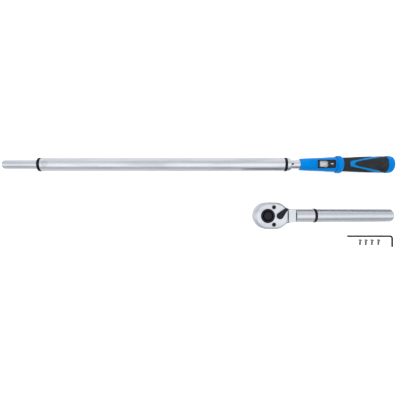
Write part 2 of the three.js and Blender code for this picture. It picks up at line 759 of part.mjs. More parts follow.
function addRatchet(place) {
  add("ratchet_head", ratchetHead(), "chrome", place);
  add("cover_plate", coverPlate(), "satin", place);
  add("cover_screw_1", coverScrew(1), "black", place);
  add("cover_screw_2", coverScrew(-1), "black", place);
  add("drive_gear", driveGear(), "black", place);
  add("release_button", releaseButton(), "black", place);
  add("button_spring", turnedOver(coilX(3.3, 12, 4.6, 0.5, 3.5, 10), [0, 1, 0], -90), "steel", place);
  const ball = new THREE.SphereGeometry(BALL_R, 12, 8).translate(0, BALL_Y, BALL_Z);
  add("retaining_ball", body(ball), "steel", place);
  add("pawl", pawl(), "steel", place);
  add("reversing_lever", reversingLever(), "black", place);
  add("detent_pin", shifted(rodX(LEVER_X + LEVER_SHAFT_R + GAP, 37.6, 1.4, 16), 0, 0, 9), "steel", place);
  add("detent_spring", shifted(coilX(37.9, 43.1, 1, 0.35, 3, 8), 0, 0, 9), "steel", place);
  add("shank_ring", shankRing(), "rubber", place);
  add("shank_tube", shankTube(), "chrome", place);
  add("shank_pin", shankPin(), "steel", place);
}

function shankPin() {
  return rodY(SHANK_PIN_X, 0, -20, 20, SHANK_PIN_R).intersect(rodX(130, 160, SHANK_R - 0.1, FINE));
}

// ---------- loose pieces ----------

// Centre line stations of the key: [x, y, heading in radians]
function keyStations() {
  const longX = KEY_OUTER_X - KEY_FLATS / Math.sqrt(3);
  const bendX = longX - KEY_BEND_R;
  const bendY = KEY_Y - KEY_BEND_R;
  const stations = [[KEY_BACK_X, KEY_Y, 0]];
  for (let i = 0; i <= 6; i += 1) {
    const turn = Math.PI / 2 * i / 6;
    stations.push([bendX + KEY_BEND_R * Math.sin(turn), bendY + KEY_BEND_R * Math.cos(turn), -turn]);
  }
  stations.push([longX, KEY_TIP_Y, -Math.PI / 2]);
  return stations;
}

function hexKey() {
  const stations = keyStations();
  const corner = KEY_FLATS / Math.sqrt(3);
  const points = stations.flatMap(([x, y, heading]) => Array.from({ length: 6 }, (_, i) => {
    const side = corner * Math.cos(i * Math.PI / 3);
    const up = corner * Math.sin(i * Math.PI / 3);
    return [x - side * Math.sin(heading), y + side * Math.cos(heading), up + KEY_FLATS / 2];
  }));
  const faces = [];
  const last = 6 * (stations.length - 1);
  for (let i = 0; i < 6; i += 1) {
    const next = (i + 1) % 6;
    for (let ring = 0; ring < last; ring += 6) {
      faces.push(ring + i, ring + next, ring + 6 + i, ring + next, ring + 6 + next, ring + 6 + i);
    }
  }
  for (let i = 1; i < 5; i += 1) {
    faces.push(0, i + 1, i, last, last + i, last + i + 1);
  }
  const geometry = new THREE.BufferGeometry();
  geometry.setAttribute("position", new THREE.BufferAttribute(new Float32Array(points.flat()), 3));
  geometry.setIndex(faces);
  return body(geometry);
}

function lockingScrew() {
  const cone = SCREW_HEAD_R - SCREW_R;
  const profile = [
    [0, 4.1], [0.4, SCREW_HEAD_R], [0.9, SCREW_HEAD_R], [0.9 + cone, SCREW_R],
    [SCREW_LENGTH - 0.8, SCREW_R], [SCREW_LENGTH, SCREW_R - 0.7],
  ];
  const socket = prism(hexagon(KEY_FLATS + 0.1), -1, 2.6);
  return cut(turnedZ(profile, 16), socket);
}

function addScrews() {
  const tilt = Math.atan2(SCREW_HEAD_R - SCREW_R, SCREW_LENGTH - 1.7);
  const solid = lockingScrew();
  SCREW_X.forEach((x, i) => {
    const lay = new THREE.Matrix4().makeRotationX(Math.PI / 2 + tilt);
    const rest = 0.9 * Math.sin(tilt) + SCREW_HEAD_R * Math.cos(tilt);
    const place = new THREE.Matrix4().makeTranslation(x, SCREW_HEAD_Y, rest).multiply(lay);
    add(`locking_screw_${i + 1}`, solid, "steel", place);
  });
}

// ---------- placing ----------

function ratchetPlace() {
  const halfDrive = DRIVE_SIZE / 2;
  const tilt = Math.atan2(-DRIVE_END - SHANK_R, SHANK_END - SHANK_CHAMFER - halfDrive);
  const lift = halfDrive * Math.sin(tilt) - DRIVE_END * Math.cos(tilt);
  return new THREE.Matrix4().makeTranslation(...RATCHET_PLACE, lift).multiply(
    new THREE.Matrix4().makeRotationY(tilt));
}

const barPlace = new THREE.Matrix4().makeTranslation(...BAR_PLACE);
addMechanism(barPlace);
addHousing(barPlace);
addGrip(barPlace);
addRatchet(ratchetPlace());
add("hex_key", hexKey(), "black", new THREE.Matrix4());
addScrews();

export default part;
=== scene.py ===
import json
import math

import bmesh
import bpy
from mathutils import Matrix, Vector


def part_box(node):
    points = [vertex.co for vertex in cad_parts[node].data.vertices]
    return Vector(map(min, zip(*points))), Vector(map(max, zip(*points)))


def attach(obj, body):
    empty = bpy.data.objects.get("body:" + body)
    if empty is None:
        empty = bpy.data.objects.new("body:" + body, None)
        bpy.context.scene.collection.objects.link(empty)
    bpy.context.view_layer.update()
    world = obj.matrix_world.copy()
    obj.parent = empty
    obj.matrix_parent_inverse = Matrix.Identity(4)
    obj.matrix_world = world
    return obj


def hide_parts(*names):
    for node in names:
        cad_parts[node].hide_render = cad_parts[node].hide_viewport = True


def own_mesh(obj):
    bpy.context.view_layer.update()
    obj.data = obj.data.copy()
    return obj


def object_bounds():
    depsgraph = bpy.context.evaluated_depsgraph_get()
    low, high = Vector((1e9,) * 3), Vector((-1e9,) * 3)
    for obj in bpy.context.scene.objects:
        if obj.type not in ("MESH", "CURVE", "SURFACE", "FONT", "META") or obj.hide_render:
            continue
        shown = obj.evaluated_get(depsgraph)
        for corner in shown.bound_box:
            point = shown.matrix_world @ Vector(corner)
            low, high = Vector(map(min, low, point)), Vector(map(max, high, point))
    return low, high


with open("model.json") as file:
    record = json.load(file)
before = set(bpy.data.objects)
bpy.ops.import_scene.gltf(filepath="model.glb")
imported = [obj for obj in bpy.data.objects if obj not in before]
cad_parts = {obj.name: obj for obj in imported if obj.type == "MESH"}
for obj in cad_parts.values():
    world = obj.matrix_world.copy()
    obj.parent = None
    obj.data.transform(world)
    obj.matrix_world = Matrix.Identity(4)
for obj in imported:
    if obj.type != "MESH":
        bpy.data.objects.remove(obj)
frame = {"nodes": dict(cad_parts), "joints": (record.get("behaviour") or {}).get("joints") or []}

CAD_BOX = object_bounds()
JOINTS = {joint["name"]: joint for joint in frame["joints"]}

# Shapes are drawn in millimetres in two local frames, then placed on the CAD nodes:
# the bar along X from the tip of its rod, and the ratchet about its gear's axis.
MM = 0.001
AROUND = 96
FILLET_STEPS = 4
SHARP = 32

# Camera and room
CAMERA_HEIGHT = 0.8
CAMERA_SHIFT = (-0.0019, 0.0048)
CAMERA_LENS = 28.8
FLOOR_SIZE = 8
FLOOR_DROP = 0.0003
CARD_X = (0.11, 0.52)
CARD_Y = 0.03
CARD_Z = (0.012, 0.05)
# How bright the tent is, by its angle round X, in degrees from straight up towards +Y.
TENT = [
    (-180, 0.85), (-128, 0.86), (-98, 0.8), (-76, 0.54), (-60, 0.44), (-46, 0.8), (-32, 1.2), (-8, 1.2),
    (10, 0.98), (28, 0.72), (40, 0.72), (58, 0.9), (80, 0.95), (128, 0.95), (180, 0.85),
]

# Bar
ROD_R = 11.1
TUBE = (96.5, 700.8)
TUBE_R = 16.6
TUBE_BORE_R = 13.5
FRONT_RING = (89.5, 96.2)
FRONT_SPIGOT_END = 98.3
REAR_RING = (701.1, 706.7)
RING_R = 17.1
SHOULDER_FRONT = 707
HOUSING_FRONT = 740
HOUSING_REAR = 829
LOCK_WEB = (835, 838.5)
LOCK_WEB_R = 14.9
LOCK_BORE_R = 18.8
PIVOT_X = 110
PIVOT_R = 7
LOCK_HOLES = (30, 65)
TAIL_END = 188
WINDOW = (780, 824, 20.3)
SCALE_WINDOW = (785, 805, 16.2)
HOUSING = [
    (HOUSING_FRONT, 14.4), (760, 15.7), (785, 16.5), (800, 17.25), (813, 18.2), (HOUSING_REAR, 18.45),
]
COLLAR = [
    (829.05, 20.2, 0.7), (831, 21.7, 1.6), (834, 22, 1.6), (838, 22, 1.6), (840.6, 21.2, 1.4),
    (842, 19.9, 0.6),
]
GRIP = [
    (844.3, 17.1), (846, 17.5), (854, 17.4), (870, 18.25), (888, 19.2), (914, 20),
    (922, 19.6), (934, 20.25), (951, 20.3), (952.1, 19.6),
]
CAP_FRONT = 952.5
CAP_DOME = [(960.5, 21.6), (966.8, 20.2), (969.6, 17), (971.3, 12), (972, 6.5)]
CAP_RECESS = 968
NECK_SCREW_X = 720.2
V_FRONT = [(858.7, 0), (861.1, 6.2), (866.7, 7.6), (884, 10.9), (908, 15.9), (921, 18.5), (936, 23)]
V_REAR = [(949, 23), (938, 18.8), (930, 16), (906, 11.6), (883, 7.2), (872, 3.6), (869.5, 0)]
V_DEPTH = 1.3
V_GAP = 0.3

# Ratchet
HEAD_R = 32.4
HEAD_HALF = 15
HEAD_BEVEL = 3.4
HEAD_REAR = [(51.5, 17.5), (47, 19.6)]
CHEEK_END = 18
PLATE_HALF = 28
PLATE_Z = 11.3
PLATE_REAR = (44, 17)
PLATE_BULGE = 52
NECK_END = 72
NECK_HALF = 15.6
NECK_THICK = 11.8
FORGED_R = 16.2
HUB_R = 16.75
HUB_TOP = 15.6
BUTTON_R = 12
GEAR_R = 21
JOURNAL_R = 16
DRIVE_HALF = 19.05 / 2
DRIVE_END = -39
BALL_R = 3.2
BALL = (7.5, -29)
POCKET_FLOOR = -7.3
PAWL_POCKET = (18, 26.4)
PAWL_POCKET_SPREAD = 37.8
DETENT_SLOT = (43.4, 1.8)
LEVER_X = 29.4
LEVER_DISC_R = 8
LEVER_TIP = (14.3, 14.7)
LEVER_TIP_R = 3.8
COVER_SCREW = (14.7, 20.9)
COVER_SCREW_R = 4.5
FORGED_END = 117.3
SHANK = (123.2, 319)
SHANK_R = 16.4
SHANK_BORE_R = 11.4
SHANK_PIN_X = 145
REACH = 229.5

# Loose pieces
KEY_FLATS = 4
KEY_BEND_R = 5.5
SCREW_LENGTH = 14.4
SCREW_HEAD_R = 4.6
SCREW_R = 2.3
THREAD_PITCH = 0.8
THREAD_DEPTH = 0.42


# ---------- materials ----------

def srgb(code):
    """Linear colour from a hex code."""
    values = [int(code[i:i + 2], 16) / 255 for i in (0, 2, 4)]
    return tuple(v / 12.92 if v <= 0.04045 else ((v + 0.055) / 1.055) ** 2.4 for v in values) + (1,)


class Material:
    """A principled material with the node chains that these finishes share."""

    def __init__(self, name, colour, roughness, metallic=0.0, gloss=0.5):
        self.data = bpy.data.materials.new(name)
        self.data.use_nodes = True
        self.nodes = self.data.node_tree.nodes
        self.links = self.data.node_tree.links
        self.shader = self.nodes["Principled BSDF"]
        self.colour = srgb(colour)
        self.base = roughness
        self.shader.inputs["Base Color"].default_value = self.colour
        self.shader.inputs["Roughness"].default_value = roughness
        self.shader.inputs["Metallic"].default_value = metallic
        self.shader.inputs["Specular IOR Level"].default_value = gloss
        self.bump = None

    def noise(self, scale, detail=3.0):
        """Noise over the object's own coordinates, stretched by one scale per axis."""
        where = self.nodes.new("ShaderNodeTexCoord")
        stretch = self.nodes.new("ShaderNodeMapping")
        stretch.inputs["Scale"].default_value = scale
        noise = self.nodes.new("ShaderNodeTexNoise")
        noise.inputs["Scale"].default_value = 1.0
        noise.inputs["Detail"].default_value = detail
        self.links.new(where.outputs["Object"], stretch.inputs["Vector"])
        self.links.new(stretch.outputs["Vector"], noise.inputs["Vector"])
        return noise.outputs["Fac"]

    def spread(self, value, low, high, into):
        """Maps noise, which stays near 0.5, onto low to high and links it."""
        ranged = self.nodes.new("ShaderNodeMapRange")
        ranged.inputs["From Min"].default_value = 0.3
        ranged.inputs["From Max"].default_value = 0.7
        ranged.inputs["To Min"].default_value = low
        ranged.inputs["To Max"].default_value = high
        self.links.new(value, ranged.inputs["Value"])
        self.links.new(ranged.outputs["Result"], into)
        return self

    def roughen(self, scale, amount, detail=3.0):
        return self.spread(self.noise(scale, detail), self.base - amount, self.base + amount,
                           self.shader.inputs["Roughness"])

    def tint(self, scale, other, detail=3.0, sharp=0.0):
        """Lets the colour drift towards another one."""
        mix = self.nodes.new("ShaderNodeMix")
        mix.data_type = "RGBA"
        for socket, colour in ((mix.inputs[6], self.colour), (mix.inputs[7], srgb(other))):
            socket.default_value = colour
        shader_input = self.shader.inputs["Base Color"]
        if shader_input.is_linked:
            self.links.new(shader_input.links[0].from_socket, mix.inputs[6])
        ranged = self.nodes.new("ShaderNodeMapRange")
        ranged.inputs["From Min"].default_value = 0.35 + sharp
        ranged.inputs["From Max"].default_value = 0.7
        self.links.new(self.noise(scale, detail), ranged.inputs["Value"])
        self.links.new(ranged.outputs["Result"], mix.inputs[0])
        self.links.new(mix.outputs[2], shader_input)
        return self

    def bumpy(self, scale, distance, strength=0.5, detail=3.0):
        bump = self.nodes.new("ShaderNodeBump")
        bump.inputs["Strength"].default_value = strength
        bump.inputs["Distance"].default_value = distance
        self.links.new(self.noise(scale, detail), bump.inputs["Height"])
        if self.bump:
            self.links.new(self.bump.outputs["Normal"], bump.inputs["Normal"])
        self.links.new(bump.outputs["Normal"], self.shader.inputs["Normal"])
        self.bump = bump
        return self


def satin_chrome(name, colour, roughness, grain, smear="cbcfd6"):
    """Plated steel with a directional grain, faint smears and fine specks."""
    finish = Material(name, colour, roughness, 1.0)
    finish.roughen(grain, 0.06)
    finish.tint((7, 60, 60), smear, 2.0, 0.1)
    return finish.bumpy(grain, 0.00001, 0.35).bumpy((420, 420, 420), 0.000006, 0.25)


def metal_looks():
    """Metals. Their grain runs where its noise scale is small."""
    lengthwise = (14, 1500, 1500)
    crosswise = (2600, 40, 40)
    return {
        "chrome": satin_chrome("satin_chrome", "dfe2e8", 0.27, lengthwise),
        "rod": satin_chrome("rod_chrome", "d9dce3", 0.3, lengthwise),
        "pin": satin_chrome("pin_steel", "d3d6dc", 0.3, (300, 900, 900)),
        "plug": satin_chrome("turned_chrome", "dde1e7", 0.2, crosswise),
        "shank": satin_chrome("shank_chrome", "d3d7de", 0.27, lengthwise),
        "forged": satin_chrome("forged_chrome", "d8dbe1", 0.3, (700, 700, 700)),
        "satin": satin_chrome("cover_satin", "dcdfe6", 0.36, (60, 1700, 1700)),
        "steel": satin_chrome("machined_steel", "b3b6ba", 0.36, crosswise, "9da0a5"),
        "zinc": satin_chrome("zinc_steel", "8e8d8a", 0.42, (900, 900, 900), "9e9c97"),
        "brass": satin_chrome("machined_brass", "c9a45e", 0.3, crosswise, "b08b49"),
    }


def build_materials():
    """Every look by its name. The dead black look is painted shade, for grooves and seams."""
    looks = metal_looks()
    looks["black"] = (Material("black_oxide", "0f1117", 0.42, 0.0, 0.24).roughen((500, 500, 500), 0.1)
                      .tint((160, 160, 160), "1b1d25").bumpy((1500, 1500, 1500), 0.00002, 0.5))
    # Painted shade: a dead black put into grooves and seams, where shade falls.
    looks["pit"] = (Material("pit_black", "050507", 0.8, 0.0, 0.05).roughen((500, 500, 500), 0.05)
                    .tint((300, 300, 300), "0a0a0d").bumpy((900, 900, 900), 0.00001, 0.3))
    looks["key"] = (Material("key_black", "160f11", 0.45, 0.0, 0.18).roughen((40, 700, 700), 0.08)
                    .tint((60, 300, 300), "231b1d").bumpy((30, 1800, 1800), 0.00001, 0.4))
    looks["rubber"] = (Material("grip_rubber", "1f2225", 0.66, 0.0, 0.22).roughen((350, 350, 350), 0.07)
                       .tint((90, 90, 90), "2b2e31").bumpy((2400, 2400, 2400), 0.00006, 0.6)
                       .bumpy((320, 320, 320), 0.00003, 0.3))
    looks["ring"] = (Material("ring_rubber", "0b0d13", 0.5, 0.0, 0.16).roughen((600, 600, 600), 0.07)
                     .tint((200, 200, 200), "14171e").bumpy((1800, 1800, 1800), 0.00002, 0.4))
    looks["blue"] = (Material("blue_plastic", "0080d8", 0.36, 0.0, 0.5).roughen((260, 260, 260), 0.05)
                     .tint((35, 35, 35), "0076c8").bumpy((1300, 1300, 1300), 0.000025, 0.35))
    looks["inlay"] = (Material("inlay_plastic", "0a84cc", 0.4, 0.0, 0.5).roughen((300, 300, 300), 0.05)
                      .tint((60, 60, 60), "0872b4").bumpy((1300, 1300, 1300), 0.00002, 0.3))
    looks["bezel"] = (Material("bezel_plastic", "131a26", 0.3, 0.0, 0.35).roughen((300, 300, 300), 0.05)
                      .tint((120, 120, 120), "0e1420").bumpy((1500, 1500, 1500), 0.00001, 0.3))
    looks["mark"] = (Material("mark_paint", "c9c8d2", 0.5).roughen((600, 600, 600), 0.06)
                     .tint((900, 900, 900), "a9a8b6"))
    for name in ("blue", "inlay"):
        looks[name].shader.inputs["Specular Tint"].default_value = srgb("58b8ff")
        looks[name].shader.inputs["IOR"].default_value = 1.24
    looks["lens"] = lens_material()
    looks["scale"] = scale_material()
    return looks


def lens_material():
    lens = Material("clear_lens", "f4f7f8", 0.08)
    lens.shader.inputs["Transmission Weight"].default_value = 1.0
    lens.shader.inputs["IOR"].default_value = 1.2
    return lens.roughen((500, 500, 500), 0.02)


def scale_material():
    """Light drum with fine lines round it every 2 mm, and lines along it every 4 mm."""
    drum = Material("scale_drum", "edf0f1", 0.5)
    drum.roughen((400, 400, 400), 0.05).tint((300, 300, 300), "e4e8ea")
    where = drum.nodes.new("ShaderNodeTexCoord")
    parts = drum.nodes.new("ShaderNodeSeparateXYZ")
    drum.links.new(where.outputs["Object"], parts.inputs["Vector"])
    lines = [drum_lines(drum, parts.outputs["X"], 0.002, 0.14),
             drum_lines(drum, parts.outputs["Y"], 0.004, 0.07)]
    either = drum.nodes.new("ShaderNodeMath")
    either.operation = "MAXIMUM"
    drum.links.new(lines[0], either.inputs[0])
    drum.links.new(lines[1], either.inputs[1])
    mix = drum.nodes.new("ShaderNodeMix")
    mix.data_type = "RGBA"
    target = drum.shader.inputs["Base Color"]
    drum.links.new(target.links[0].from_socket, mix.inputs[6])
    mix.inputs[7].default_value = srgb("7b828a")
    drum.links.new(either.outputs["Value"], mix.inputs[0])
    drum.links.new(mix.outputs[2], target)
    return drum


def drum_lines(drum, coordinate, pitch, share):
    """1 on a thin line once every pitch along a coordinate, else 0."""
    phase = drum.nodes.new("ShaderNodeMath")
    phase.operation = "DIVIDE"
    phase.inputs[1].default_value = pitch
    part = drum.nodes.new("ShaderNodeMath")
    part.operation = "FRACT"
    line = drum.nodes.new("ShaderNodeMath")
    line.operation = "LESS_THAN"
    line.inputs[1].default_value = share
    drum.links.new(coordinate, phase.inputs[0])
    drum.links.new(phase.outputs["Value"], part.inputs[0])
    drum.links.new(part.outputs["Value"], line.inputs[0])
    return line.outputs["Value"]


# ---------- outlines ----------

def arc(cx, cy, radius, start, end, steps):
    """Points on an arc, in degrees."""
    angles = [math.radians(start + (end - start) * i / steps) for i in range(steps + 1)]
    return [(cx + radius * math.cos(a), cy + radius * math.sin(a)) for a in angles]


def bezier(*points, steps=14):
    """Points on a quadratic or cubic curve, without its first one."""
    curve = []
    for i in range(1, steps + 1):
        level = [Vector(p) for p in points]
        while len(level) > 1:
            level = [a.lerp(b, i / steps) for a, b in zip(level, level[1:])]
        curve.append(tuple(level[0]))
    return curve


def through(points, steps=8):
    """A smooth curve through points."""
    padded = [points[0], *points, points[-1]]
    curve = [points[0]]
    for before, a, b, after in zip(padded, padded[1:], padded[2:], padded[3:]):
        for i in range(1, steps + 1):
            t = i / steps
            curve.append(tuple(
                0.5 * (2 * p1 + (p2 - p0) * t + (2 * p0 - 5 * p1 + 4 * p2 - p3) * t * t
                       + (3 * p1 - p0 - 3 * p2 + p3) * t ** 3)
                for p0, p1, p2, p3 in zip(before, a, b, after)))
    return curve


def mirrored(upper):
    """Closes an outline given by its upper half, whose ends are on the axis or face each other."""
    lower = [(x, -y) for x, y in reversed(upper)]
    return upper + [p for p in lower if abs(p[1]) > 1e-6]


def rounded_box(x0, x1, width, radius):
    half = width / 2
    corners = [(x1 - radius, half - radius, 0), (x0 + radius, half - radius, 90),
               (x0 + radius, radius - half, 180), (x1 - radius, radius - half, 270)]
    return [p for x, y, start in corners for p in arc(x, y, radius, start, start + 90, 6)]


def hexagon(flats):
    return [(flats / math.sqrt(3) * math.cos(math.radians(60 * i + 30)),
             flats / math.sqrt(3) * math.sin(math.radians(60 * i + 30))) for i in range(6)]


def rounded(corners):
    """A profile from (along, radius, fillet) corners, each rounded by its own fillet."""
    points = []
    for i, (along, radius, fillet) in enumerate(corners):
        here = Vector((along, radius))
        if not fillet or i in (0, len(corners) - 1):
            points.append((along, radius))
            continue
        before = Vector(corners[i - 1][:2]) - here
        after = Vector(corners[i + 1][:2]) - here
        reach = min(fillet, before.length * 0.49, after.length * 0.49)
        start = here + before.normalized() * reach
        end = here + after.normalized() * reach
        points += [tuple(start), *bezier(start, here, end, steps=FILLET_STEPS)]
    return points


# ---------- mesh building ----------

def mesh_object(name, verts, faces, place):
    mesh = bpy.data.meshes.new(name)
    mesh.from_pydata([place @ Vector(v) for v in verts], [], faces)
    work = bmesh.new()
    work.from_mesh(mesh)
    bmesh.ops.remove_doubles(work, verts=work.verts, dist=1e-7)
    bmesh.ops.recalc_face_normals(work, faces=work.faces)
    work.to_mesh(mesh)
    work.free()
    obj = bpy.data.objects.new(name, mesh)
    bpy.context.scene.collection.objects.link(obj)
    return obj


def turned(name, profile, place, around=AROUND):
    """A solid turned about X. The profile runs from axis to axis, or is a closed ring."""
    verts, rings = [], []
    for along, radius in profile:
        count = around if radius > 1e-6 else 1
        rings.append([len(verts) + i for i in range(count)])
        for i in range(count):
            angle = 2 * math.pi * i / around
            verts.append((along, radius * math.cos(angle), radius * math.sin(angle)))
    closed = len(rings[0]) > 1
    pairs = list(zip(rings, rings[1:])) + ([(rings[-1], rings[0])] if closed else [])
    faces = []
    for a, b in pairs:
        for i in range(around):
            quad = [a[i % len(a)], a[(i + 1) % len(a)], b[(i + 1) % len(b)], b[i % len(b)]]
            faces.append(list(dict.fromkeys(quad)))
    return mesh_object(name, verts, faces, place)


def solid(name, corners, place, around=AROUND):
    """A turned solid from (along, radius, fillet) corners that begin and end off the axis."""
    closed = [(corners[0][0], 0, 0), *corners, (corners[-1][0], 0, 0)]
    return turned(name, rounded(closed), place, around)


def ring(name, corners, bore, place, around=AROUND):
    """A turned sleeve from its outer corners and its bore."""
    start, end = corners[0][0], corners[-1][0]
    loop = [(start, bore, 0), *corners, (end, bore, 0)]
    return turned(name, rounded(loop), place, around)


def prism(name, outline, low, high, place):
    count = len(outline)
    verts = [(x, y, low) for x, y in outline] + [(x, y, high) for x, y in outline]
    faces = [list(range(count))[::-1], [count + i for i in range(count)]]
    faces += [[i, (i + 1) % count, count + (i + 1) % count, count + i] for i in range(count)]
    return mesh_object(name, verts, faces, place)


def bake(obj):
    """Replaces obj's mesh by its evaluated mesh, and drops its modifiers."""
    bpy.context.view_layer.update()
    graph = bpy.context.evaluated_depsgraph_get()
    mesh = bpy.data.meshes.new_from_object(obj.evaluated_get(graph))
    obj.modifiers.clear()
    obj.data = mesh
    return obj


def combine(obj, tool, operation="DIFFERENCE"):
    modifier = obj.modifiers.new("combine", "BOOLEAN")
    modifier.object = tool
    modifier.operation = operation
    modifier.solver = "EXACT"
    bake(obj)
    bpy.data.objects.remove(tool)
    return obj


def bevel(obj, width, segments=3, angle=40):
    modifier = obj.modifiers.new("bevel", "BEVEL")
    modifier.width = width * MM
    modifier.segments = segments
    modifier.limit_method = "ANGLE"
    modifier.angle_limit = math.radians(angle)
    modifier.use_clamp_overlap = True
    return bake(obj)


def shade(obj, angle=SHARP):
    for polygon in obj.data.polygons:
        polygon.use_smooth = True
    obj.data.set_sharp_from_angle(angle=math.radians(angle))


def finish_piece(obj, body, node, look):
    """Shades a piece, gives it its material, attaches it to its body, and hides the CAD node that it stands
    for.
    """
    shade(obj)
    weights = obj.modifiers.new("normals", "WEIGHTED_NORMAL")
    weights.keep_sharp = True
    obj.data.materials.clear()
    obj.data.materials.append(LOOKS[look].data)
    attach(obj, body)
    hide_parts(node)


def paint_shade(obj, place, low, high):
    """Gives the faces centred in a box, in a place's own coordinates, a dead black that paints shade into
    them.
    """
    obj.data.materials.append(LOOKS["pit"].data)
    back = place.inverted()
    for polygon in obj.data.polygons:
        if all(a < c < b for a, c, b in zip(low, back @ polygon.center, high)):
            polygon.material_index = len(obj.data.materials) - 1


# ---------- places ----------

def bar_place():
    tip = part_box("drive_lever")[0][0]
    low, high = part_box("outer_tube")
    return Matrix.Translation((tip, (low[1] + high[1]) / 2, (low[2] + high[2]) / 2)) @ Matrix.Scale(MM, 4)


def ratchet_place():
    joint = JOINTS["drive_turn"]
    tilt = math.atan2(joint["axis"][0], joint["axis"][2])
    return Matrix.Translation(joint["pos_m"]) @ Matrix.Rotation(tilt, 4, "Y") @ Matrix.Scale(MM, 4)


def upright(place, x=0.0, y=0.0):
    """Turns a shape drawn along X so that it stands on Z at x, y."""
    return place @ Matrix.Translation((x, y, 0)) @ Matrix.Rotation(-math.pi / 2, 4, "Y")


def sideways(place, x, side=1):
    """Turns a shape drawn along X so that it lies along +Y or -Y at x."""
    return place @ Matrix.Translation((x, 0, 0)) @ Matrix.Rotation(side * math.pi / 2, 4, "Z")


def rod_tool(place, low, high, radius, around=48):
    return turned("tool", [(low, 0), (low, radius), (high, radius), (high, 0)], place, around)


# ---------- bar ----------

def build_lever():
    lever = solid("drive_rod_piece", [
        (0, 8.8, 0.4), (2.6, ROD_R, 1.6), (98.5, ROD_R, 0.6), (100.5, 12.6, 0.6), (121, 12.6, 0.6),
        (125, 8, 0.6), (TAIL_END, 8, 0.4),
    ], BAR)
    combine(lever, rod_tool(upright(BAR, PIVOT_X), -20, 20, PIVOT_R + 0.3))
    combine(lever, rod_tool(upright(BAR, TAIL_END), -20, 20, 4.3))
    for x in LOCK_HOLES:
        for side in (1, -1):
            combine(lever, rod_tool(sideways(BAR, x, side), 2, 20, 2.5, 32))
    bevel(lever, 0.25, 2)
    finish_piece(lever, "lever", "drive_lever", "rod")


def build_tube():
    tube = ring("tube_piece", [(TUBE[0], TUBE_R, 0.7), (TUBE[1], TUBE_R, 0.7)], TUBE_BORE_R, BAR, 128)
    combine(tube, rod_tool(upright(BAR, PIVOT_X), -20, 20, PIVOT_R + 0.35, 64))
    bevel(tube, 0.35, 2)
    finish_piece(tube, "bar", "outer_tube", "chrome")

    pin = rod_tool(upright(BAR, PIVOT_X), -20, 20, PIVOT_R, 64)
    pin.name = "pivot_pin_piece"
    combine(pin, rod_tool(BAR, PIVOT_X - 10, PIVOT_X + 10, TUBE_R - 0.25, 128), "INTERSECT")
    for end in (1, -1):
        dimple = solid("tool", [(end * 15.4, 0.8, 0), (end * 17.2, 2.8, 0)], upright(BAR, PIVOT_X), 32)
        combine(pin, dimple)
    bevel(pin, 0.45, 3)
    finish_piece(pin, "bar", "pivot_pin", "pin")


def build_rings():
    start, end = FRONT_RING
    bore = 12.2
    front = turned("front_ring_piece", rounded([
        (start, bore, 0.3), (start, RING_R, 0.9), (end, RING_R, 0.6), (end, 13.2, 0.2),
        (FRONT_SPIGOT_END, 13.2, 0.3), (FRONT_SPIGOT_END, bore, 0.2),
    ]), BAR)
    finish_piece(front, "bar", "front_ring", "ring")
    rear = ring("rear_ring_piece", [(x, RING_R, 0.8) for x in REAR_RING], TUBE_BORE_R, BAR)
    finish_piece(rear, "bar", "rear_ring", "ring")


def build_plug():
    plug = ring("rear_plug_piece", [
        (664.3, 13.2, 0.5), (SHOULDER_FRONT, 13.2, 0), (SHOULDER_FRONT, 16.7, 0.6),
        (712.4, 16.6, 0.5), (715.6, 15.6, 0.8), (717, 14.2, 0.5), (717, 11.1, 0.4), (765, 11.1, 0.5),
    ], 6.2, BAR)
    combine(plug, rod_tool(upright(BAR, NECK_SCREW_X), 7.6, 20, 2.6, 32))
    bevel(plug, 0.25, 2)
    finish_piece(plug, "bar", "rear_plug", "plug")

    screw = rod_tool(upright(BAR, NECK_SCREW_X), 7.9, 10.5, 2.3, 32)
    screw.name = "neck_screw_piece"
    combine(screw, prism("tool", hexagon(2), 9.3, 12, BAR @ Matrix.Translation((NECK_SCREW_X, 0, 0))))
    bevel(screw, 0.15, 2)
    finish_piece(screw, "bar", "neck_screw", "black")


def housing_shell(inner, outer):
    """The housing's wall, from one offset of its profile to another."""
    out = [(x, r + outer) for x, r in HOUSING]
    back = [(x, r + inner) for x, r in reversed(HOUSING)]
    return turned("tool", out + back, BAR, 128)


def build_housing():
    curve = through(HOUSING, 6)
    outside = [(x, r) for x, r in curve[3:-1]]
    profile = rounded([
        (HOUSING_FRONT, 11.4, 0.2), (HOUSING_FRONT, 14.3, 0.5), (741.6, 14.75, 0.4),
        *[(x, r, 0) for x, r in outside], (HOUSING_REAR, 18.45, 0.6), (HOUSING_REAR, 14.6, 0),
        (841, 14.6, 0.3), (841, 11.5, 0), (826, 11.5, 0), (826, 13.2, 0),
        (767, 13.2, 0), (767, 11.4, 0),
    ])
    housing = turned("scale_housing_piece", profile, BAR, 128)
    x0, x1, width = WINDOW
    combine(housing, prism("tool", rounded_box(x0 - 0.3, x1 + 0.3, width + 0.6, 2.9), 4, 30, BAR))
    bevel(housing, 0.3, 3)
    finish_piece(housing, "bar", "scale_housing", "blue")


